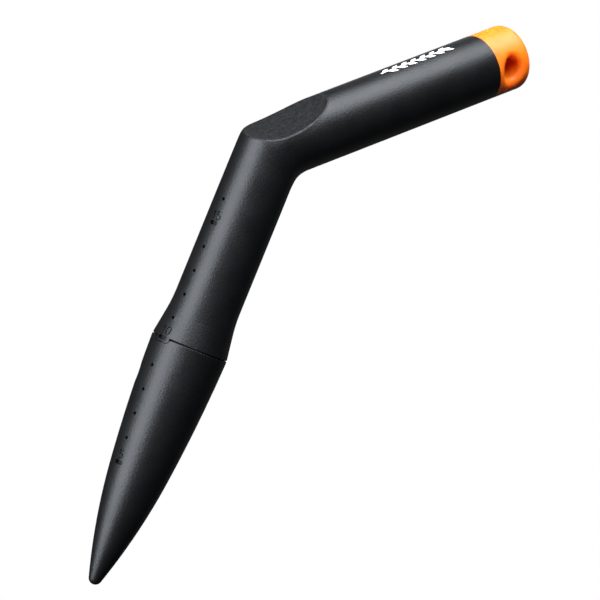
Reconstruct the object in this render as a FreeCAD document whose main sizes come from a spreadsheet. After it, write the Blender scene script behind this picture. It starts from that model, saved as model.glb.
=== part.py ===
import FreeCAD, Part
import math
import os
import Sketcher
from FreeCAD import Placement, Rotation, Vector

# Garden dibber with a bent grip. Millimetres. The tip of the soil point is the
# origin, the shaft runs up +Z and the grip leans towards +X, so the XZ plane is
# the plane of symmetry. The depth scale is on the -X side of the shaft.

DIMENSIONS = [
    # parting line between the soil point and the handle
    ("joint_height", 100.0),
    ("joint_gap", 0.15),
    ("rim_radius", 15.6),
    ("point_rim_chamfer", 0.1),
    ("shaft_rim_chamfer", 0.55),
    # soil point, from the rounded tip up two long tangent arcs
    ("tip_radius", 2.7),
    ("lower_arc_radius", 250.0),
    ("upper_arc_radius", 600.0),
    ("tip_shoulder_radius", 2.58),
    ("tip_shoulder_height", 1.9),
    ("waist_height", 46.0),
    ("waist_radius", 11.83),
    # shaft and its flare down to the parting line
    ("shaft_radius", 13.35),
    ("flare_angle", 8.65),
    ("flare_blend_radius", 57.0),
    # elbow: the shaft and grip axes cross at elbow_height
    ("elbow_height", 183.7),
    ("bend_angle", 56.0),
    ("elbow_inner_radius", 10.7),
    ("elbow_outer_radius", 12.0),
    ("elbow_lead", 6.0),
    ("elbow_reach", 20.0),
    ("elbow_inset", 0.02),
    ("elbow_overlap", 1.0),
    # grip, from the crossing of the axes to the cap seam
    ("grip_length", 109.9),
    # thumb rest: an arc across the outside of the elbow
    ("rest_radius", 75.5),
    ("rest_start_rise", 0.9),
    ("rest_grip_reach", 28.5),
    ("rest_rim_radius", 0.8),
    # hollow cores of the handle, narrowed behind the thumb rest
    ("shaft_core_radius", 9.4),
    ("grip_core_radius", 10.2),
    ("neck_core_radius", 4.5),
    ("core_taper_start", 34.0),
    ("core_taper_length", 10.0),
    # spigot of the handle in the socket of the soil point
    ("spigot_radius", 12.0),
    ("spigot_end_height", 85.0),
    ("socket_clearance", 0.1),
    ("spigot_chamfer", 0.8),
    ("spigot_bead_height", 91.0),
    ("bead_radius", 1.0),
    ("bead_rise", 0.4),
    # index tab of the handle in the notch of the soil point
    ("tab_width", 7.3),
    ("tab_drop", 1.7),
    ("tab_corner_radius", 1.4),
    ("tab_clearance", 0.25),
    ("tab_relief_radius", 0.5),
    ("tab_root", 1.0),
    # inside of the soil point
    ("point_core_top_radius", 9.8),
    ("point_core_arc_radius", 280.0),
    ("point_core_end_radius", 2.0),
    ("point_core_end_height", 20.0),
    # end cap
    ("cap_length", 17.4),
    ("cap_edge_radius", 3.1),
    ("hole_radius", 4.3),
    ("hole_height", 7.5),
    ("hole_lip_radius", 2.4),
    ("plug_radius", 10.1),
    ("plug_length", 14.0),
    ("plug_bore_radius", 7.9),
    ("plug_floor", 0.5),
    ("plug_bead_height", 8.0),
    # depth scale
    ("mark_pitch", 10.0),
    ("mark_drop", 1.45),
    ("dot_radius", 0.7),
    ("dot_depth", 1.3),
    ("bar_length", 4.2),
    ("tab_bar_length", 5.0),
    ("bar_width", 1.7),
    ("bar_depth", 1.2),
    ("numeral_height", 3.7),
    ("numeral_width", 2.3),
    ("numeral_stroke", 0.45),
    ("numeral_depth", 0.6),
    ("numeral_spacing", 2.5),
    ("numeral_lift", 0.45),
]

# Expressions that several sketches share.
TOP_FACE = "Dims.joint_height - Dims.joint_gap / 2"
SHOULDER = "Dims.joint_height + Dims.joint_gap / 2"
BLEND_RISE = "Dims.flare_blend_radius * (1 - cos(Dims.flare_angle * 1 deg))"
BLEND_RUN = "Dims.flare_blend_radius * sin(Dims.flare_angle * 1 deg)"
FLARE_DROP = f"(Dims.rim_radius - Dims.shaft_radius - {BLEND_RISE})"
FLARE_TURN = f"{SHOULDER} + {FLARE_DROP} / tan(Dims.flare_angle * 1 deg)"
BEND_TANGENT = "(Dims.shaft_radius + Dims.elbow_inner_radius) * tan(Dims.bend_angle / 2 * 1 deg)"
ELBOW_START = f"Dims.elbow_height - {BEND_TANGENT} - Dims.elbow_lead"
ELBOW_END = f"{BEND_TANGENT} + Dims.elbow_reach"

DOT_MARKS = (6, 7, 8, 9, 11, 12, 13, 14, 16)
TAB_MARK = 10
# fan of sections round the elbow, and the spacing of those on its straight leads
ELBOW_STEPS = 24
LEAD_STEP = 2.0
# how far a cutter runs past the face that it opens
OVERCUT = 1.0
# how near counts as touching, for points and for the looser boxes round curved edges
NEAR = 0.01
BOX_NEAR = 0.1
# length of the prisms that engrave the marks, half of it above the surface
MARK_PRISM = 4.0
# the bowl of the numeral 5: its size and height beside the half width, and its arc in degrees
FIVE_BOWL = 1.15
FIVE_SHOULDER = 1.9
FIVE_ARC_START = -140
FIVE_ARC_SWEEP = 265

document = FreeCAD.newDocument("Dibber")
sheet = document.addObject("Spreadsheet::Sheet", "Dims")
for row, (alias, value) in enumerate(DIMENSIONS, start=1):
    sheet.set(f"A{row}", alias)
    sheet.set(f"B{row}", str(value))
    sheet.setAlias(f"B{row}", alias)
document.recompute()


def dim(expression):
    """The value of an expression over the sheet's aliases."""
    return float(sheet.evalExpression(expression))


def add(kind, name, **bindings):
    """A document object with its properties bound to expressions."""
    item = document.addObject(kind, name)
    for prop, expression in bindings.items():
        item.setExpression(prop, expression)
    return item


def origin_plane(body, role):
    return next(f for f in body.Origin.OriginFeatures if f.Role == role)


def new_sketch(body, name, role):
    sketch = body.newObject("Sketcher::SketchObject", name)
    sketch.AttachmentSupport = [(origin_plane(body, role), "")]
    sketch.MapMode = "FlatFace"
    return sketch


def pin(sketch, geometry, vertex, across, up):
    """Fixes a sketch vertex at two expressions from the origin."""
    for kind, expression in (("DistanceX", across), ("DistanceY", up)):
        index = sketch.addConstraint(Sketcher.Constraint(kind, -1, 1, geometry, vertex, dim(expression)))
        sketch.setExpression(f"Constraints[{index}]", expression)


def size(sketch, kind, geometry, expression):
    """A radius or length constraint bound to an expression."""
    value = dim(expression)
    index = sketch.addConstraint(Sketcher.Constraint(kind, geometry, value))
    sketch.setExpression(f"Constraints[{index}]", expression)


def section(body, name, corners, arcs=None):
    """A closed outline on the XZ plane.

    Each corner is a pair of expressions. The edge after corner n is straight, unless arcs[n]
    gives its radius; a negative radius puts the arc's centre on the right of the way travelled.
    """
    sketch = new_sketch(body, name, "XZ_Plane")
    arcs = arcs or {}
    points = [Vector(dim(across), dim(up), 0) for across, up in corners]
    count = len(points)
    first_vertex = {}
    for index in range(count):
        start, end = points[index], points[(index + 1) % count]
        if index in arcs:
            sketch.addGeometry(arc_through(start, end, dim(arcs[index])))
            size(sketch, "Radius", index, arcs[index].lstrip("-"))
            first_vertex[index] = 1 if dim(arcs[index]) > 0 else 2
        else:
            sketch.addGeometry(Part.LineSegment(start, end))
            first_vertex[index] = 1
    for index in range(count):
        following = (index + 1) % count
        end_vertex = 3 - first_vertex[index]
        join = Sketcher.Constraint("Coincident", index, end_vertex, following, first_vertex[following])
        sketch.addConstraint(join)
        pin(sketch, index, first_vertex[index], *corners[index])
    return sketch


def arc_through(start, end, radius):
    """The shorter arc between two points, its centre on the left for a positive radius."""
    chord = end - start
    left = Vector(-chord.y, chord.x, 0).normalize()
    side = 1 if radius > 0 else -1
    centre = (start + end) * 0.5 + left * side * math.sqrt(radius ** 2 - (chord.Length / 2) ** 2)
    first, last = (start, end) if side > 0 else (end, start)
    circle = Part.Circle(centre, Vector(0, 0, 1), abs(radius))
    return Part.ArcOfCircle(circle, angle_of(first - centre), angle_of(last - centre))


def angle_of(vector):
    return math.atan2(vector.y, vector.x)


def revolve(body, kind, name, sketch):
    """A Revolution or Groove once round the sketch's upright axis."""
    feature = body.newObject(kind, name)
    feature.Profile = (sketch, [""])
    feature.ReferenceAxis = (sketch, ["V_Axis"])
    feature.Angle = 360
    return feature


def circle_edge(shape, radius, height):
    """Name of the circular edge of this radius that lies at this height."""
    for index, edge in enumerate(shape.Edges, start=1):
        if edge.Degenerated or edge.Curve.TypeId != "Part::GeomCircle":
            continue
        if abs(edge.Curve.Radius - radius) < NEAR and abs(edge.Curve.Center.z - height) < NEAR:
            return f"Edge{index}"
    raise ValueError(f"no circle of radius {radius} at height {height}")


def edge_finish(body, kind, name, edges, expression):
    """A Chamfer or Fillet on named edges of the body's last feature."""
    base = body.Tip
    feature = body.newObject(kind, name)
    feature.Base = (base, edges)
    feature.setExpression("Size" if kind.endswith("Chamfer") else "Radius", expression)
    document.recompute()
    return feature


def cut(name, base, tools):
    """Base minus a list of tools, as one boolean."""
    tool = tools[0]
    if len(tools) > 1:
        tool = document.addObject("Part::MultiFuse", name + "Tools")
        tool.Shapes = tools
    result = document.addObject("Part::Cut", name)
    result.Base = base
    result.Tool = tool
    document.recompute()
    return result


def feature(name, shape):
    """A Part::Feature for a shape that no sketch or primitive describes."""
    item = document.addObject("Part::Feature", name)
    item.Shape = shape
    return item


# ---------------------------------------------------------------- soil point


def point_profile(body):
    """Half section of the point: a rounded tip, two long arcs and the top face."""
    corners = [
        ("0", "0"),
        ("Dims.tip_shoulder_radius", "Dims.tip_shoulder_height"),
        ("Dims.waist_radius", "Dims.waist_height"),
        ("Dims.rim_radius", TOP_FACE),
        ("0", TOP_FACE),
    ]
    arcs = {0: "Dims.tip_radius", 1: "Dims.lower_arc_radius", 2: "Dims.upper_arc_radius"}
    return section(body, "PointProfile", corners, arcs)


def point_hollow(body):
    """Half section of the core below the socket: an arc that follows the outside."""
    corners = [
        ("0", "Dims.point_core_end_height"),
        ("Dims.point_core_end_radius", "Dims.point_core_end_height"),
        ("Dims.point_core_top_radius", f"Dims.spigot_end_height + {OVERCUT}"),
        ("0", f"Dims.spigot_end_height + {OVERCUT}"),
    ]
    return section(body, "PointHollow", corners, {1: "Dims.point_core_arc_radius"})


def make_point_body():
    """The point without its notch and marks."""
    body = document.addObject("PartDesign::Body", "PointBody")
    revolve(body, "PartDesign::Revolution", "PointSolid", point_profile(body))
    document.recompute()
    rim = circle_edge(body.Shape, dim("Dims.rim_radius"), dim(TOP_FACE))
    edge_finish(body, "PartDesign::Chamfer", "PointRim", [rim], "Dims.point_rim_chamfer")
    socket = [
        ("0", "Dims.spigot_end_height"),
        ("Dims.spigot_radius + Dims.socket_clearance", "Dims.spigot_end_height"),
        ("Dims.spigot_radius + Dims.socket_clearance", f"Dims.joint_height + {OVERCUT}"),
        ("0", f"Dims.joint_height + {OVERCUT}"),
    ]
    revolve(body, "PartDesign::Groove", "PointSocket", section(body, "SocketProfile", socket))
    revolve(body, "PartDesign::Groove", "PointCore", point_hollow(body))
    document.recompute()
    return body


def tab_block(name, slack):
    """A block through the -X side with the outline of the index tab, grown by slack."""
    block = add(
        "Part::Box",
        name + "Block",
        Length=f"Dims.rim_radius - Dims.spigot_radius + 2 * {OVERCUT}",
        Width=f"Dims.tab_width + 2 * {slack}",
        Height=f"Dims.tab_drop + {slack} + Dims.joint_gap + Dims.tab_root",
    )
    corner = Vector(dim(f"-Dims.rim_radius - {OVERCUT}"), dim(f"-Dims.tab_width / 2 - {slack}"),
                    dim(f"Dims.joint_height - Dims.tab_drop - {slack}"))
    block.Placement = Placement(corner, Rotation())
    document.recompute()
    lower_edges = [
        (index, dim(f"Dims.tab_corner_radius + {slack}"), dim(f"Dims.tab_corner_radius + {slack}"))
        for index, edge in enumerate(block.Shape.Edges, start=1)
        if edge.BoundBox.XLength > OVERCUT and abs(edge.CenterOfMass.z - corner.z) < NEAR
    ]
    rounded = document.addObject("Part::Fillet", name)
    rounded.Base = block
    rounded.Edges = lower_edges
    document.recompute()
    return rounded


def tab_reliefs(name):
    """Two small round reliefs where the parting line meets the tab."""
    reliefs = []
    aside = dim("Dims.tab_width / 2 + Dims.tab_clearance")
    for end, side in (("Near", -aside), ("Far", aside)):
        relief = add(
            "Part::Cylinder",
            name + end,
            Radius="Dims.tab_relief_radius",
            Height=f"Dims.rim_radius - Dims.spigot_radius + {OVERCUT}",
        )
        place = Vector(dim(f"-Dims.rim_radius - {OVERCUT}"), side, dim("Dims.joint_height"))
        relief.Placement = Placement(place, Rotation(Vector(0, 1, 0), 90))
        reliefs.append(relief)
    return reliefs


def bead(name, wall_radius, height, thickness="Dims.bead_radius"):
    """A snap bead: a ring sunk in a cylinder's wall so that its crest stands proud by bead_rise."""
    middle = f"{wall_radius} - Dims.bead_radius + Dims.bead_rise"
    ring = add("Part::Torus", name, Radius1=middle, Radius2=thickness)
    ring.setExpression("Placement.Base.z", height)
    return ring


# --------------------------------------------------------------- depth scale


def glyph_bar(start, end):
    """A straight stroke with round ends, as a prism along local z."""
    width = dim("Dims.numeral_stroke")
    reach = Vector(*end, 0) - Vector(*start, 0)
    foot = -MARK_PRISM / 2
    bar = Part.makeBox(reach.Length, width, MARK_PRISM, Vector(0, -width / 2, foot))
    turn = math.degrees(math.atan2(reach.y, reach.x))
    bar.Placement = Placement(Vector(*start, 0), Rotation(Vector(0, 0, 1), turn))
    ends = [Part.makeCylinder(width / 2, MARK_PRISM, Vector(*point, foot)) for point in (start, end)]
    return bar.fuse(ends)


def glyph_bow(centre, radius, start_angle, sweep):
    """A stroke along an arc, as a prism along local z."""
    width = dim("Dims.numeral_stroke")
    foot = Vector(0, 0, -MARK_PRISM / 2)
    outer = Part.makeCylinder(radius + width / 2, MARK_PRISM, foot, Vector(0, 0, 1), sweep)
    bow = outer.cut(Part.makeCylinder(radius - width / 2, MARK_PRISM, foot))
    bow.Placement = Placement(Vector(*centre, 0), Rotation(Vector(0, 0, 1), start_angle))
    return bow


def numeral(digit):
    """The strokes of one numeral, standing on local y = 0 and centred on x = 0."""
    stroke = dim("Dims.numeral_stroke")
    top = dim("Dims.numeral_height") - stroke / 2
    foot = stroke / 2
    half = dim("Dims.numeral_width") / 2 - stroke / 2
    if digit == "1":
        return [glyph_bar((0, foot), (0, top)), glyph_bar((0, top), (-half, top - half))]
    if digit == "0":
        low, high = foot + half, top - half
        sides = [glyph_bar((side, low), (side, high)) for side in (-half, half)]
        return sides + [glyph_bow((0, low), half, 180, 180), glyph_bow((0, high), half, 0, 180)]
    bowl = half * FIVE_BOWL
    centre = (half - bowl, foot + bowl)
    shoulder = (-half, foot + bowl * FIVE_SHOULDER)
    return [
        glyph_bar((-half, top), (half, top)),
        glyph_bar((-half, top), shoulder),
        glyph_bow(centre, bowl, FIVE_ARC_START, FIVE_ARC_SWEEP),
    ]


def radius_at(solid, height):
    """Distance of the solid's -X side from the shaft axis."""
    probe = Part.makeLine(Vector(-dim("2 * Dims.rim_radius"), 0, height), Vector(0, 0, height))
    return -solid.common(probe).BoundBox.XMin


def facing_scale(solid, height, shift=0.0):
    """On the surface of the -X side: local x to the reader's right, y up and z out of the wall."""
    turn = Rotation(Vector(0, -1, 0), Vector(0, 0, 1), Vector(-1, 0, 0), "ZXY")
    return Placement(Vector(-radius_at(solid, height), -shift, height), turn)


def engraving(name, solid, shapes, place, low, high, depth):
    """Prisms turned onto the scale, kept only down to a depth below the surface."""
    radii = [radius_at(solid, height) - depth for height in (low, high)]
    if abs(radii[0] - radii[1]) < NEAR:
        core = Part.makeCylinder(radii[0], high - low, Vector(0, 0, low))
    else:
        core = Part.makeCone(radii[0], radii[1], high - low, Vector(0, 0, low))
    tool = shapes[0].fuse(shapes[1:]) if len(shapes) > 1 else shapes[0]
    tool.Placement = place.multiply(tool.Placement)
    return feature(name, tool.cut(core))


def bar_mark(name, solid, height, length):
    """The long mark of every fifth centimetre, lying across the scale."""
    width = dim("Dims.bar_width")
    reach = (length - width) / 2
    foot = -MARK_PRISM / 2
    prism = Part.makeBox(2 * reach, width, MARK_PRISM, Vector(-reach, -width / 2, foot))
    ends = [Part.makeCylinder(width / 2, MARK_PRISM, Vector(side, 0, foot)) for side in (-reach, reach)]
    low, high = height - width / 2 - NEAR, height + width / 2 + NEAR
    depth = dim("Dims.bar_depth")
    return engraving(name, solid, [prism.fuse(ends)], facing_scale(solid, height), low, high, depth)


def numeral_marks(name, solid, text, foot):
    """A number above its long mark, its digits side by side."""
    low, high = foot - NEAR, foot + dim("Dims.numeral_height") + NEAR
    depth = dim("Dims.numeral_depth")
    marks = []
    for index, digit in enumerate(text):
        shift = (index - (len(text) - 1) / 2) * dim("Dims.numeral_spacing")
        place = facing_scale(solid, foot, shift)
        marks.append(engraving(f"{name}Digit{index}", solid, numeral(digit), place, low, high, depth))
    return marks


def dot_mark(name, solid, height):
    """A round pit with a flat floor."""
    pit = add("Part::Cylinder", name, Radius="Dims.dot_radius", Height=f"Dims.dot_depth + {OVERCUT}")
    floor = Vector(dim("Dims.dot_depth") - radius_at(solid, height), 0, height)
    pit.Placement = Placement(floor, Rotation(Vector(0, 1, 0), -90))
    return pit


def scale_marks(prefix, solid, centimetres):
    """Every mark of the depth scale whose centimetre is in the given range.

    The mark of 10 cm lies on the index tab, across the parting line.
    """
    pitch, drop = dim("Dims.mark_pitch"), dim("Dims.mark_drop")
    lift = dim("Dims.bar_width / 2 + Dims.numeral_lift")
    marks = []
    for number in centimetres:
        name = f"{prefix}{number}"
        on_tab = number == TAB_MARK
        height = number * pitch if on_tab else number * pitch - drop
        if number in DOT_MARKS:
            marks.append(dot_mark(name + "Dot", solid, height))
        elif number % 5 == 0:
            length = dim("Dims.tab_bar_length" if on_tab else "Dims.bar_length")
            marks.append(bar_mark(name + "Bar", solid, height, length))
            marks.extend(numeral_marks(name, solid, str(number), height + lift))
    return marks


# -------------------------------------------------------------------- handle


def shaft_profile(body):
    """Half section of the shaft: spigot, shoulder, straight flare, blend arc and shaft."""
    corners = [
        ("0", "Dims.spigot_end_height"),
        ("Dims.spigot_radius", "Dims.spigot_end_height"),
        ("Dims.spigot_radius", SHOULDER),
        ("Dims.rim_radius", SHOULDER),
        ("Dims.shaft_radius + " + BLEND_RISE, FLARE_TURN),
        ("Dims.shaft_radius", FLARE_TURN + " + " + BLEND_RUN),
        ("Dims.shaft_radius", f"{ELBOW_START} + Dims.elbow_overlap"),
        ("0", f"{ELBOW_START} + Dims.elbow_overlap"),
    ]
    return section(body, "ShaftProfile", corners, {4: "-Dims.flare_blend_radius"})


def elbow_radii(angle):
    """Near and far distance of the elbow from the bend's centre, at an angle round the bend.

    The inside of the bend is a plain fillet. The outside runs straight to a rounded corner.
    """
    inner, outer = dim("Dims.elbow_inner_radius"), dim("Dims.elbow_outer_radius")
    wall = inner + 2 * dim("Dims.shaft_radius")
    half = math.radians(dim("Dims.bend_angle")) / 2
    corner_distance = (wall - outer) / math.cos(half)
    corner_start = math.atan(corner_distance * math.sin(half) / wall)
    from_middle = abs(angle - half)
    if half - from_middle < corner_start:
        return inner, wall / math.cos(half - from_middle)
    across = corner_distance * math.sin(from_middle)
    return inner, corner_distance * math.cos(from_middle) + math.sqrt(outer ** 2 - across ** 2)


def ellipse_wire(centre, long_axis, normal, long_radius, short_radius):
    """An elliptic or round section whose seam lies on the inside of the bend."""
    if long_radius - short_radius < NEAR:
        curve = Part.Circle(centre, normal, short_radius)
        curve.XAxis = long_axis
        return Part.Wire(Part.Edge(curve))
    side = normal.cross(long_axis)
    curve = Part.Ellipse(centre + long_axis * long_radius, centre + side * short_radius, centre)
    return Part.Wire(Part.Edge(curve))


def make_elbow():
    """The bend as a loft: straight leads at both ends and a fan of sections between them.

    Its ends reach into the shaft and the grip, and its skin lies a hair inside theirs.
    """
    shaft, inner = dim("Dims.shaft_radius"), dim("Dims.elbow_inner_radius")
    skin = shaft - dim("Dims.elbow_inset")
    bend = math.radians(dim("Dims.bend_angle"))
    centre = Vector(shaft + inner, 0, dim(f"Dims.elbow_height - {BEND_TANGENT}"))
    lead, reach = dim("Dims.elbow_lead"), dim("Dims.elbow_reach")
    sections = []
    for step in range(round(lead / LEAD_STEP), 0, -1):
        middle = Vector(0, 0, centre.z - step * LEAD_STEP)
        sections.append(ellipse_wire(middle, Vector(1, 0, 0), Vector(0, 0, 1), skin, skin))
    for step in range(ELBOW_STEPS + 1):
        angle = bend * step / ELBOW_STEPS
        outward = Vector(-math.cos(angle), 0, math.sin(angle))
        along = Vector(math.sin(angle), 0, math.cos(angle))
        near, far = elbow_radii(angle)
        middle = centre + outward * (near + far) / 2
        long_radius = (far - near) / 2 - shaft + skin
        sections.append(ellipse_wire(middle, outward * -1, along, long_radius, skin))
    outward = Vector(-math.cos(bend), 0, math.sin(bend))
    along = Vector(math.sin(bend), 0, math.cos(bend))
    for step in range(1, round(reach / LEAD_STEP) + 1):
        middle = centre + outward * (inner + shaft) + along * step * LEAD_STEP
        sections.append(ellipse_wire(middle, outward * -1, along, skin, skin))
    return feature("Elbow", Part.makeLoft(sections, True, False))


def grip_placement(distance):
    """A frame on the grip's axis: z along the grip, -x towards its top side."""
    bend = dim("Dims.bend_angle")
    turn = Rotation(Vector(0, 1, 0), bend)
    start = Vector(0, 0, dim("Dims.elbow_height"))
    return Placement(start + turn.multVec(Vector(0, 0, distance)), turn)


def make_thumb_rest():
    """The round cutter that scoops the thumb rest out of the elbow's outside."""
    start = Vector(-dim("Dims.shaft_radius"), 0, dim("Dims.elbow_height + Dims.rest_start_rise"))
    end = grip_placement(dim("Dims.rest_grip_reach")).multVec(Vector(-dim("Dims.shaft_radius"), 0, 0))
    chord = end - start
    radius = dim("Dims.rest_radius")
    outward = Vector(-chord.z, 0, chord.x).normalize()
    middle = (start + end) * 0.5 + outward * math.sqrt(radius ** 2 - (chord.Length / 2) ** 2)
    cutter = add("Part::Cylinder", "ThumbRest", Radius="Dims.rest_radius", Height="4 * Dims.shaft_radius")
    middle.y = dim("2 * Dims.shaft_radius")
    cutter.Placement = Placement(middle, Rotation(Vector(1, 0, 0), 90))
    return cutter


def on_rest_rim(edge, cutter):
    """True for an edge that lies on the thumb rest's cutter all along."""
    axis, radius = cutter.Placement.Base, dim("Dims.rest_radius")
    points = [] if edge.Degenerated else edge.discretize(5)
    offsets = [abs(math.hypot(point.x - axis.x, point.z - axis.z) - radius) for point in points]
    return bool(offsets) and max(offsets) < NEAR


def make_core(name, radius, length, placement):
    """A core from one open end: full bore, taper and the narrow neck through the elbow."""
    taper, neck = "Dims.core_taper_length", "Dims.neck_core_radius"
    bore_end = f"{length} - Dims.core_taper_start"
    bore = add("Part::Cylinder", name + "Bore", Radius=radius, Height=bore_end)
    cone = add("Part::Cone", name + "Taper", Radius1=radius, Radius2=neck, Height=taper)
    passage = add("Part::Cylinder", name + "Neck", Radius=neck, Height=f"Dims.core_taper_start - {taper}")
    for item, depth in ((bore, 0), (cone, dim(bore_end)), (passage, dim(f"{bore_end} + {taper}"))):
        item.Placement = placement.multiply(Placement(Vector(0, 0, depth), Rotation()))
    return [bore, cone, passage]


def make_handle():
    body = document.addObject("PartDesign::Body", "ShaftBody")
    revolve(body, "PartDesign::Revolution", "ShaftSolid", shaft_profile(body))
    document.recompute()
    rim = circle_edge(body.Shape, dim("Dims.rim_radius"), dim(SHOULDER))
    edge_finish(body, "PartDesign::Chamfer", "ShaftRim", [rim], "Dims.shaft_rim_chamfer")
    nose = circle_edge(body.Shape, dim("Dims.spigot_radius"), dim("Dims.spigot_end_height"))
    edge_finish(body, "PartDesign::Chamfer", "SpigotNose", [nose], "Dims.spigot_chamfer")

    grip_start = f"({ELBOW_END} - Dims.elbow_overlap)"
    grip_run = f"Dims.grip_length - {grip_start}"
    grip = add("Part::Cylinder", "Grip", Radius="Dims.shaft_radius", Height=grip_run)
    grip.Placement = grip_placement(dim(grip_start))
    cutter = make_thumb_rest()
    elbow = cut("RestedElbow", make_elbow(), [cutter])
    rim_edges = [
        (index, dim("Dims.rest_rim_radius"), dim("Dims.rest_rim_radius"))
        for index, edge in enumerate(elbow.Shape.Edges, start=1)
        if on_rest_rim(edge, cutter)
    ]
    softened = document.addObject("Part::Fillet", "SoftenedElbow")
    softened.Base = elbow
    softened.Edges = rim_edges
    document.recompute()
    shell = document.addObject("Part::MultiFuse", "HandleShell")
    shell.Shapes = [body, softened, grip, make_tab(), make_spigot_bead()]
    document.recompute()

    up_shaft = Placement(Vector(0, 0, dim("Dims.spigot_end_height")), Rotation())
    shaft_length = "Dims.elbow_height - Dims.spigot_end_height"
    seam = grip_placement(dim("Dims.grip_length"))
    down_grip = seam.multiply(Placement(Vector(), Rotation(Vector(0, 1, 0), 180)))
    cores = make_core("ShaftCore", "Dims.shaft_core_radius", shaft_length, up_shaft)
    cores += make_core("GripCore", "Dims.grip_core_radius", "Dims.grip_length", down_grip)
    cores.append(make_elbow_ball())
    cores.append(plug_groove(seam))
    hollow = cut("HollowHandle", shell, cores)
    marks = scale_marks("Upper", hollow.Shape, range(10, 17))
    return cut("handle_body", hollow, marks + tab_reliefs("ShoulderRelief"))


def make_tab():
    """The index tab: part of the flare's wall that hangs below the shoulder."""
    body = document.addObject("PartDesign::Body", "TabRing")
    root = f"{SHOULDER} + Dims.tab_root"
    corners = [
        ("0", "Dims.spigot_end_height"),
        ("Dims.rim_radius", "Dims.spigot_end_height"),
        ("Dims.rim_radius", SHOULDER),
        ("Dims.rim_radius - Dims.tab_root * tan(Dims.flare_angle * 1 deg)", root),
        ("0", root),
    ]
    revolve(body, "PartDesign::Revolution", "TabRingSolid", section(body, "TabRingProfile", corners))
    tab = document.addObject("Part::Common", "IndexTab")
    tab.Base = body
    tab.Tool = tab_block("TabOutline", "0")
    document.recompute()
    return tab


def make_spigot_bead():
    return bead("SpigotBead", "Dims.spigot_radius", "Dims.spigot_bead_height")


def make_elbow_ball():
    """Rounds off the corner where the two narrow necks meet."""
    ball = add("Part::Sphere", "NeckCorner", Radius="Dims.neck_core_radius")
    ball.setExpression("Placement.Base.z", "Dims.elbow_height")
    return ball


def plug_groove(seam):
    """The groove in the grip's bore for the end cap's snap bead."""
    ring = add(
        "Part::Torus",
        "PlugGroove",
        Radius1="Dims.plug_radius - Dims.bead_radius + Dims.bead_rise",
        Radius2="Dims.bead_radius + Dims.socket_clearance",
    )
    depth = -dim("Dims.plug_bead_height")
    ring.Placement = seam.multiply(Placement(Vector(0, 0, depth), Rotation()))
    return ring


def make_point():
    body = make_point_body()
    groove = bead("SocketGroove", "Dims.spigot_radius", "Dims.spigot_bead_height",
                  "Dims.bead_radius + Dims.socket_clearance")
    notch = tab_block("TabNotch", "Dims.tab_clearance")
    marks = scale_marks("Lower", body.Shape, range(5, 10))
    return cut("soil_point", body, [groove, notch] + marks + tab_reliefs("RimRelief"))


# ------------------------------------------------------------------- end cap


def make_cap():
    """The cap in its own frame: z = 0 at the seam, the plug below it, the hole along y."""
    body = document.addObject("PartDesign::Body", "CapBody")
    corners = [
        ("0", "-Dims.plug_floor"),
        ("Dims.plug_bore_radius", "-Dims.plug_floor"),
        ("Dims.plug_bore_radius", "-Dims.plug_length"),
        ("Dims.plug_radius", "-Dims.plug_length"),
        ("Dims.plug_radius", "0"),
        ("Dims.shaft_radius", "0"),
        ("Dims.shaft_radius", "Dims.cap_length"),
        ("0", "Dims.cap_length"),
    ]
    revolve(body, "PartDesign::Revolution", "CapSolid", section(body, "CapProfile", corners))
    document.recompute()
    nose = circle_edge(body.Shape, dim("Dims.plug_radius"), dim("-Dims.plug_length"))
    edge_finish(body, "PartDesign::Chamfer", "PlugNose", [nose], "Dims.spigot_chamfer")

    sketch = new_sketch(body, "HoleCircle", "XZ_Plane")
    circle = Part.Circle(Vector(0, dim("Dims.hole_height"), 0), Vector(0, 0, 1), dim("Dims.hole_radius"))
    sketch.addGeometry(circle)
    size(sketch, "Radius", 0, "Dims.hole_radius")
    pin(sketch, 0, 3, "0", "Dims.hole_height")
    hole = body.newObject("PartDesign::Pocket", "HangingHole")
    hole.Profile = (sketch, [""])
    hole.Type = "ThroughAll"
    hole.SideType = "Symmetric"
    before = body.Shape.Volume
    document.recompute()
    if body.Shape.Volume >= before:
        raise ValueError("the hanging hole removed nothing")
    mouths = [
        f"Edge{index}"
        for index, edge in enumerate(body.Shape.Edges, start=1)
        if abs(edge.BoundBox.ZLength - 2 * dim("Dims.hole_radius")) < BOX_NEAR
        and edge.BoundBox.YLength < dim("Dims.hole_radius")
    ]
    edge_finish(body, "PartDesign::Fillet", "HoleLips", mouths, "Dims.hole_lip_radius")

    corner = [
        ("Dims.shaft_radius", "Dims.cap_length - Dims.cap_edge_radius"),
        ("Dims.shaft_radius - Dims.cap_edge_radius", "Dims.cap_length"),
        ("Dims.shaft_radius - Dims.cap_edge_radius", f"Dims.cap_length + {OVERCUT}"),
        (f"Dims.shaft_radius + {OVERCUT}", f"Dims.cap_length + {OVERCUT}"),
        (f"Dims.shaft_radius + {OVERCUT}", "Dims.cap_length - Dims.cap_edge_radius"),
    ]
    rounding = section(body, "CapCorner", corner, {0: "Dims.cap_edge_radius"})
    revolve(body, "PartDesign::Groove", "CapEdge", rounding)
    cap = document.addObject("Part::MultiFuse", "end_cap")
    cap.Shapes = [body, bead("PlugBead", "Dims.plug_radius", "-Dims.plug_bead_height")]
    cap.Placement = grip_placement(dim("Dims.grip_length"))
    document.recompute()
    return cap


pieces = [make_handle(), make_point(), make_cap()]
document.recompute()
for item in document.Objects:
    if "Invalid" in item.State or "Error" in item.State:
        raise ValueError(f"{item.Name} failed: {item.State}")
os.makedirs("parts", exist_ok=True)
for piece in pieces:
    piece.Label = piece.Name
    shape = piece.Shape
    print(piece.Name, len(shape.Solids), shape.isValid(), round(shape.Volume), shape.BoundBox)
    if shape.isNull() or not shape.isValid():
        raise ValueError(f"{piece.Label} has no valid shape")
    shape.exportStep(f"parts/{piece.Label}.step")
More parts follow.
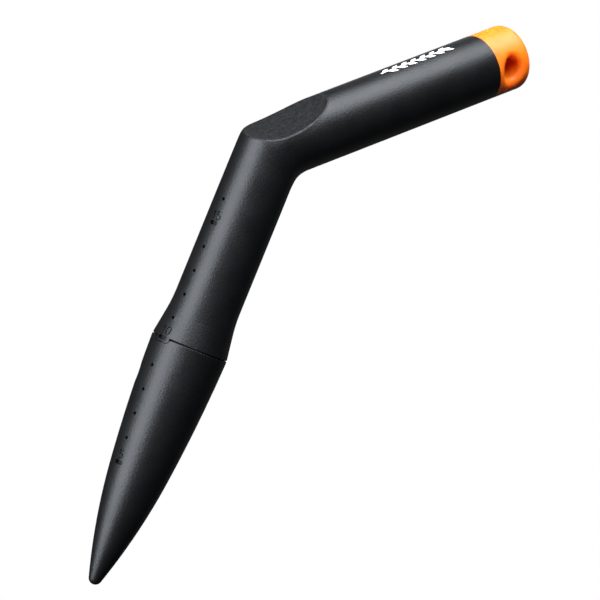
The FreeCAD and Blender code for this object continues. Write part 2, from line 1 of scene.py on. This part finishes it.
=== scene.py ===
import math

import bmesh
import bpy
from mathutils import Matrix, Vector


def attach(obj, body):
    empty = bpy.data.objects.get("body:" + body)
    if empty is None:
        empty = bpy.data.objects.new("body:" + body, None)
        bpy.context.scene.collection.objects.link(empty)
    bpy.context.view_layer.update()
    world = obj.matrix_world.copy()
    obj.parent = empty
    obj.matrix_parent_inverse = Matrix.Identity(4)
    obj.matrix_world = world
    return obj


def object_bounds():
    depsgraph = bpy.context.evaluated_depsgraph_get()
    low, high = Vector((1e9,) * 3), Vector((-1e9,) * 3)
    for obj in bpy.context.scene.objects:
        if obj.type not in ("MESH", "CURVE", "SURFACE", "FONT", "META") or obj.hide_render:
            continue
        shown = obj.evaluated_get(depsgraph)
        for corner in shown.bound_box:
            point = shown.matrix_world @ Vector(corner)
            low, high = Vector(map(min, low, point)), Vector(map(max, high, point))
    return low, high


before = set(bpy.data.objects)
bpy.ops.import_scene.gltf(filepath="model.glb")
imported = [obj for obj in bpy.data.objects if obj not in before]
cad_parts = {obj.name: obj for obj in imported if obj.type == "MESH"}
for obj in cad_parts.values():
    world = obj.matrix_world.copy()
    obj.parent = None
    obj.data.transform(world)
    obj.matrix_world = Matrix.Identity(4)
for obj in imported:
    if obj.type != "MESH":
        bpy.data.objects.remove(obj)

# Garden dibber with a bent grip. Metres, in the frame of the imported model: the tip of the
# soil point is the origin, the shaft runs up +Z and the grip leans towards +X.

cad_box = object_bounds()
lowest, highest = (Vector(corner) for corner in cad_box)
middle = (lowest + highest) / 2
MM = 0.001

# Sizes repeated from the solids: the grip's axis, its skin and the thumb rest's arc.
ELBOW_HEIGHT = 183.7 * MM
BEND = math.radians(56.0)
GRIP_RADIUS = 13.35 * MM
REST_RADIUS = 75.5 * MM
REST_AXIS = (-46.88 * MM, 252.24 * MM)
# The rest's finish fades out between these two distances under its surface.
REST_FADE = (0.05 * MM, 0.25 * MM)

# Black plastic: its colour, gloss and the grains of its skin.
BLACK = (0.0033, 0.0035, 0.0039)
BLACK_SHADES = (0.82, 1.2)
BLACK_ROUGHNESS = (0.375, 0.425)
BLACK_IOR = 1.4
BLACK_SPECULAR_TINT = (0.85, 0.915, 1.0, 1)
BLACK_RELIEF = 0.04 * MM
BLACK_BUMP = 0.5
CLOUD_GRAIN = 9 * MM
SPARK_GRAIN = 0.22 * MM
PEEL_GRAIN = 0.8 * MM
PEEL_HEIGHT = 4

# Thumb rest: a coarser, blotchy and slightly duller texture in the same plastic.
REST_GRAIN = 2.2 * MM
REST_HEIGHT = 14
REST_SHADE = 2.1
REST_DULLNESS = 0.05

# Orange plastic, which light sinks into.
ORANGE = ((0.85, 0.155, 0.005), (0.88, 0.17, 0.006))
ORANGE_ROUGHNESS = (0.40, 0.46)
ORANGE_IOR = 1.42
ORANGE_GRAIN = 0.4 * MM
FLOW_GRAIN = 6 * MM
SINK_WEIGHT = 0.6
SINK_RADIUS = (1.0, 0.12, 0.03)
SINK_DEPTH = 5 * MM

# Printing ink. Its faint relief is also the orange plastic's.
INK = ((0.80, 0.80, 0.79), (0.88, 0.88, 0.87))
INK_ROUGHNESS = (0.45, 0.6)
INK_GRAIN = 0.25 * MM
FAINT_RELIEF = 0.01 * MM
FAINT_BUMP = 0.3

# Printed mark: a plain sprig of leaves along a stem, on top of the grip.
SPRIG_START = 58.5 * MM
SPRIG_LENGTH = 36.5 * MM
STEM_WIDTH = 0.6 * MM
STEM_STEPS = (60, 4)
LEAF_COUNT = 7
LEAF_LENGTH = 4.4 * MM
LEAF_WIDTH = 1.7 * MM
LEAF_LEAN = math.radians(28)
LEAF_STEPS = (14, 6)
INK_RISE = 0.03 * MM
INK_ROOT = 0.05 * MM

# Camera: an upright tool seen from the front left, then tipped over in the picture.
VIEW_AZIMUTH = math.radians(-45.336)
VIEW_ELEVATION = math.radians(1.199)
VIEW_ROLL = math.radians(22.185)
VIEW_DISTANCE = 2.1455
VIEW_LENS = 325.08
AIM_RIGHT = -0.747 * MM
AIM_UP = 0.451 * MM

# Studio: a pale floor, a dim room and soft lamps that face the middle of the tool.
FLOOR_DROP = 0.15
FLOOR_RADIUS = 1.0
FLOOR_GRAIN = 0.2
FLOOR_TONES = (0.36, 0.4)
FLOOR_GLOW = 0.72
ROOM_COLOUR = (0.9, 0.95, 1.0, 1)
ROOM_STRENGTH = 0.018
WHITE = (1, 1, 1, 1)
LAMP_DISTANCE = 1.0
LAMPS = (
    # name, azimuth and elevation in degrees, width and height in metres, watts
    ("key", -96, -5, 0.84, 1.36, 34.4),
    ("top", -56, 66, 0.85, 1.5, 38),
    ("fill", 105, -12, 0.9, 0.9, 0.16),
    ("back", 140, 4, 0.3, 1.3, 1.0),
)


# ------------------------------------------------------------------ materials


def new_material(name):
    """A material with only its Principled shader and output, and the shader itself."""
    material = bpy.data.materials.new(name)
    material.use_nodes = True
    return material, material.node_tree.nodes["Principled BSDF"]


def node(material, kind, **settings):
    item = material.node_tree.nodes.new(kind)
    for key, value in settings.items():
        setattr(item, key, value)
    return item


def link(material, source, target):
    material.node_tree.links.new(source, target)


def position(material):
    """Object coordinates, which are the frame's own metres."""
    return node(material, "ShaderNodeTexCoord").outputs["Object"]


def noise(material, grain, detail=2.0, roughness=0.5):
    """Noise whose blobs are about one grain wide."""
    texture = node(material, "ShaderNodeTexNoise")
    texture.inputs["Scale"].default_value = 1 / grain
    texture.inputs["Detail"].default_value = detail
    texture.inputs["Roughness"].default_value = roughness
    link(material, position(material), texture.inputs["Vector"])
    return texture.outputs["Fac"]


def remap(material, value, before, after):
    """A value carried from one range to another, and held inside it."""
    item = node(material, "ShaderNodeMapRange", clamp=True)
    link(material, value, item.inputs["Value"])
    for socket, number in zip(("From Min", "From Max", "To Min", "To Max"), before + after):
        item.inputs[socket].default_value = number
    return item.outputs["Result"]


def maths(material, operation, first, second):
    """A sum, product or the like, of sockets or plain numbers."""
    item = node(material, "ShaderNodeMath", operation=operation)
    for socket, value in zip(item.inputs, (first, second)):
        if isinstance(value, (int, float)):
            socket.default_value = value
        else:
            link(material, value, socket)
    return item.outputs[0]


def mixed_colour(material, factor, first, second):
    """A blend of two colours, each a plain tuple or a socket."""
    item = node(material, "ShaderNodeMix", data_type="RGBA")
    link(material, factor, item.inputs["Factor"])
    for socket, colour in ((item.inputs[6], first), (item.inputs[7], second)):
        if isinstance(colour, tuple):
            socket.default_value = (*colour, 1)
        else:
            link(material, colour, socket)
    return item.outputs[2]


def shaded(colour, share):
    return tuple(share * part for part in colour)


def bumped(material, shader, height, distance, strength):
    item = node(material, "ShaderNodeBump")
    item.inputs["Distance"].default_value = distance
    item.inputs["Strength"].default_value = strength
    link(material, height, item.inputs["Height"])
    link(material, item.outputs["Normal"], shader.inputs["Normal"])


def on_thumb_rest(material):
    """1 on the scooped thumb rest and 0 elsewhere: the distance from the scoop's axis tells."""
    split = node(material, "ShaderNodeSeparateXYZ")
    link(material, position(material), split.inputs[0])
    squares = [
        maths(material, "POWER", maths(material, "SUBTRACT", split.outputs[letter], place), 2)
        for letter, place in zip("XZ", REST_AXIS)
    ]
    distance = maths(material, "SQRT", maths(material, "ADD", *squares), 0)
    return remap(material, distance, tuple(REST_RADIUS + fade for fade in REST_FADE), (1, 0))


def black_plastic(name, with_rest=False):
    """Satin black moulded plastic: spark-eroded grain, soft tone shifts and uneven gloss."""
    material, shader = new_material(name)
    cloud = noise(material, CLOUD_GRAIN, 3.0)
    grain = noise(material, SPARK_GRAIN, 3.0, 0.65)
    orange_peel = noise(material, PEEL_GRAIN)

    mostly_cloud = maths(
        material,
        "ADD",
        maths(material, "MULTIPLY", cloud, 0.6),
        maths(material, "MULTIPLY", grain, 0.4),
    )
    tint = remap(material, mostly_cloud, (0.35, 0.65), (0, 1))
    darker, lighter = (shaded(BLACK, share) for share in BLACK_SHADES)
    colour = mixed_colour(material, tint, darker, lighter)
    rough = remap(material, maths(material, "ADD", cloud, grain), (0.7, 1.3), BLACK_ROUGHNESS)
    height = maths(material, "ADD", grain, maths(material, "MULTIPLY", orange_peel, PEEL_HEIGHT))

    if with_rest:
        on_rest = on_thumb_rest(material)
        coarse = noise(material, REST_GRAIN, 3.0, 0.6)
        spots = remap(material, coarse, (0.42, 0.64), (0, 1))
        blotches = maths(material, "MULTIPLY", on_rest, spots)
        colour = mixed_colour(material, blotches, colour, shaded(BLACK, REST_SHADE))
        dullness = maths(material, "MULTIPLY", on_rest, REST_DULLNESS)
        rough = maths(material, "ADD", rough, dullness)
        pebbles = maths(material, "MULTIPLY", coarse, REST_HEIGHT)
        height = maths(material, "ADD", height, maths(material, "MULTIPLY", on_rest, pebbles))

    link(material, colour, shader.inputs["Base Color"])
    link(material, rough, shader.inputs["Roughness"])
    bumped(material, shader, height, BLACK_RELIEF, BLACK_BUMP)
    shader.inputs["IOR"].default_value = BLACK_IOR
    shader.inputs["Specular Tint"].default_value = BLACK_SPECULAR_TINT
    return material


def orange_plastic():
    """Glossy orange plastic that light sinks into a little, with faint flow marks."""
    material, shader = new_material("cap_orange")
    flow = remap(material, noise(material, FLOW_GRAIN), (0.35, 0.65), (0, 1))
    grain = noise(material, ORANGE_GRAIN)
    link(material, mixed_colour(material, flow, *ORANGE), shader.inputs["Base Color"])
    rough = remap(material, grain, (0.3, 0.7), ORANGE_ROUGHNESS)
    link(material, rough, shader.inputs["Roughness"])
    bumped(material, shader, grain, FAINT_RELIEF, FAINT_BUMP)
    shader.inputs["IOR"].default_value = ORANGE_IOR
    shader.inputs["Subsurface Weight"].default_value = SINK_WEIGHT
    shader.inputs["Subsurface Radius"].default_value = SINK_RADIUS
    shader.inputs["Subsurface Scale"].default_value = SINK_DEPTH
    return material


def white_ink():
    """Opaque pad-printed ink with a fine uneven surface."""
    material, shader = new_material("print_white")
    grain = noise(material, INK_GRAIN)
    tint = remap(material, grain, (0.35, 0.65), (0, 1))
    link(material, mixed_colour(material, tint, *INK), shader.inputs["Base Color"])
    rough = remap(material, grain, (0.3, 0.7), INK_ROUGHNESS)
    link(material, rough, shader.inputs["Roughness"])
    bumped(material, shader, grain, FAINT_RELIEF, FAINT_BUMP)
    return material


def pale_floor():
    """Matt pale paper that glows a little, so that it stays as white as the backdrop."""
    material, shader = new_material("floor_pale")
    tone = remap(material, noise(material, FLOOR_GRAIN, 1.0), (0.3, 0.7), FLOOR_TONES)
    link(material, tone, shader.inputs["Base Color"])
    shader.inputs["Roughness"].default_value = 0.9
    shader.inputs["Emission Color"].default_value = WHITE
    shader.inputs["Emission Strength"].default_value = FLOOR_GLOW
    return material


# --------------------------------------------------------------- printed mark


def on_grip(along, aside, radius):
    """A point on the grip: along its axis from the elbow, and aside round it from the top line."""
    turn = aside / GRIP_RADIUS
    axis = Vector((math.sin(BEND), 0, math.cos(BEND)))
    top = Vector((-math.cos(BEND), 0, math.sin(BEND)))
    side = Vector((0, 1, 0))
    outwards = top * math.cos(turn) + side * math.sin(turn)
    return Vector((0, 0, ELBOW_HEIGHT)) + axis * along + outwards * radius


def add_patch(mesh, outline, lengthwise, crosswise):
    """A closed shell of ink: outline(s, t) gives (along, aside) for s and t from 0 to 1."""
    layers = []
    for radius in (GRIP_RADIUS + INK_RISE, GRIP_RADIUS - INK_ROOT):
        rows = []
        for i in range(lengthwise + 1):
            row = [outline(i / lengthwise, j / crosswise) for j in range(crosswise + 1)]
            rows.append([mesh.verts.new(on_grip(along, aside, radius)) for along, aside in row])
        layers.append(rows)
    upper, lower = layers
    for i in range(lengthwise):
        for j in range(crosswise):
            mesh.faces.new((upper[i][j], upper[i + 1][j], upper[i + 1][j + 1], upper[i][j + 1]))
            mesh.faces.new((lower[i][j], lower[i][j + 1], lower[i + 1][j + 1], lower[i + 1][j]))
    ring = [(i, 0) for i in range(lengthwise)]
    ring += [(lengthwise, j) for j in range(crosswise)]
    ring += [(i, crosswise) for i in range(lengthwise, 0, -1)]
    ring += [(0, j) for j in range(crosswise, 0, -1)]
    for (i, j), (k, m) in zip(ring, ring[1:] + ring[:1]):
        mesh.faces.new((upper[k][m], upper[i][j], lower[i][j], lower[k][m]))


def leaf(root, lean):
    """Outline of one pointed leaf that grows from the stem at root, leaning by an angle."""

    def outline(s, t):
        half = LEAF_WIDTH / 2 * (0.04 + 0.96 * math.sin(math.pi * s ** 0.8))
        forward, sideways = s * LEAF_LENGTH, (2 * t - 1) * half
        along = root + forward * math.cos(lean) - sideways * math.sin(lean)
        return along, forward * math.sin(lean) + sideways * math.cos(lean)

    return outline


def stem(s, t):
    """Outline of the stem, which tapers to half its width."""
    taper = 1 - 0.5 * s
    return SPRIG_START + s * SPRIG_LENGTH, (2 * t - 1) * STEM_WIDTH / 2 * taper


def make_sprig():
    mesh = bmesh.new()
    add_patch(mesh, stem, *STEM_STEPS)
    pitch = (SPRIG_LENGTH - LEAF_LENGTH) / (LEAF_COUNT - 0.5)
    for index in range(LEAF_COUNT):
        for offset, lean in ((0.25, LEAF_LEAN), (0.75, -LEAF_LEAN)):
            add_patch(mesh, leaf(SPRIG_START + (index + offset) * pitch, lean), *LEAF_STEPS)
    tip = SPRIG_START + SPRIG_LENGTH - LEAF_LENGTH
    add_patch(mesh, leaf(tip, 0), *LEAF_STEPS)
    bmesh.ops.recalc_face_normals(mesh, faces=mesh.faces)
    sprig = new_object("printed_sprig", mesh)
    sprig.data.materials.append(white_ink())
    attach(sprig, "root")


# --------------------------------------------------------------------- studio


def new_object(name, mesh):
    """An object from a bmesh, which is freed."""
    data = bpy.data.meshes.new(name)
    mesh.to_mesh(data)
    mesh.free()
    item = bpy.data.objects.new(name, data)
    bpy.context.collection.objects.link(item)
    return item


def make_floor():
    """The floor, which lights nothing and shows in no reflection."""
    mesh = bmesh.new()
    bmesh.ops.create_circle(mesh, cap_ends=True, segments=96, radius=FLOOR_RADIUS)
    floor = new_object("floor", mesh)
    floor.location = (middle.x, middle.y, lowest.z - FLOOR_DROP)
    floor.data.materials.append(pale_floor())
    floor.visible_glossy = False
    floor.visible_diffuse = False
    floor.visible_shadow = False


def towards(azimuth, elevation):
    """Unit vector to where a viewer or lamp stands: azimuth 0 is the -Y side, 90 the +X side."""
    level = math.cos(elevation)
    return Vector((math.sin(azimuth) * level, -math.cos(azimuth) * level, math.sin(elevation)))


def softbox(name, azimuth, elevation, width, height, watts):
    """A large rectangular lamp that faces the middle of the tool."""
    lamp = bpy.data.lights.new(name, "AREA")
    lamp.shape = "RECTANGLE"
    lamp.size, lamp.size_y = width, height
    lamp.energy = watts
    holder = bpy.data.objects.new(name, lamp)
    direction = towards(math.radians(azimuth), math.radians(elevation))
    holder.location = middle + direction * LAMP_DISTANCE
    holder.rotation_mode = "QUATERNION"
    holder.rotation_quaternion = direction.to_track_quat("Z", "Y")
    holder.visible_camera = False
    bpy.context.collection.objects.link(holder)


def make_backdrop():
    """A dim room for the reflections, and plain white where the camera looks past the tool."""
    world = bpy.data.worlds.new("studio")
    world.use_nodes = True
    nodes, links = world.node_tree.nodes, world.node_tree.links
    room = nodes["Background"]
    room.inputs["Color"].default_value = ROOM_COLOUR
    room.inputs["Strength"].default_value = ROOM_STRENGTH
    paper = nodes.new("ShaderNodeBackground")
    paper.inputs["Color"].default_value = WHITE
    paper.inputs["Strength"].default_value = 1.0
    seen = nodes.new("ShaderNodeLightPath").outputs["Is Camera Ray"]
    choice = nodes.new("ShaderNodeMixShader")
    links.new(seen, choice.inputs["Fac"])
    links.new(room.outputs["Background"], choice.inputs[1])
    links.new(paper.outputs["Background"], choice.inputs[2])
    links.new(choice.outputs["Shader"], nodes["World Output"].inputs["Surface"])
    bpy.context.scene.world = world


def make_camera():
    camera = bpy.data.cameras.new("camera")
    camera.lens = VIEW_LENS
    camera.clip_end = 20
    holder = bpy.data.objects.new("camera", camera)
    back = towards(VIEW_AZIMUTH, VIEW_ELEVATION)
    level = Vector((0, 0, 1)).cross(back).normalized()
    up = back.cross(level) * math.cos(VIEW_ROLL) - level * math.sin(VIEW_ROLL)
    right = up.cross(back)
    place = middle + right * AIM_RIGHT + up * AIM_UP + back * VIEW_DISTANCE
    turned = Matrix((right, up, back)).transposed().to_4x4()
    holder.matrix_world = Matrix.Translation(place) @ turned
    bpy.context.collection.objects.link(holder)
    bpy.context.scene.camera = holder


# ----------------------------------------------------------------------- main

finishes = {
    "handle_body": black_plastic("handle_black", with_rest=True),
    "soil_point": black_plastic("point_black"),
    "end_cap": orange_plastic(),
}
for name, material in finishes.items():
    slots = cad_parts[name].data.materials
    slots.clear()
    slots.append(material)

make_sprig()
make_floor()
make_backdrop()
make_camera()
for lamp in LAMPS:
    softbox(*lamp)
bpy.context.scene.view_settings.view_transform = "Standard"
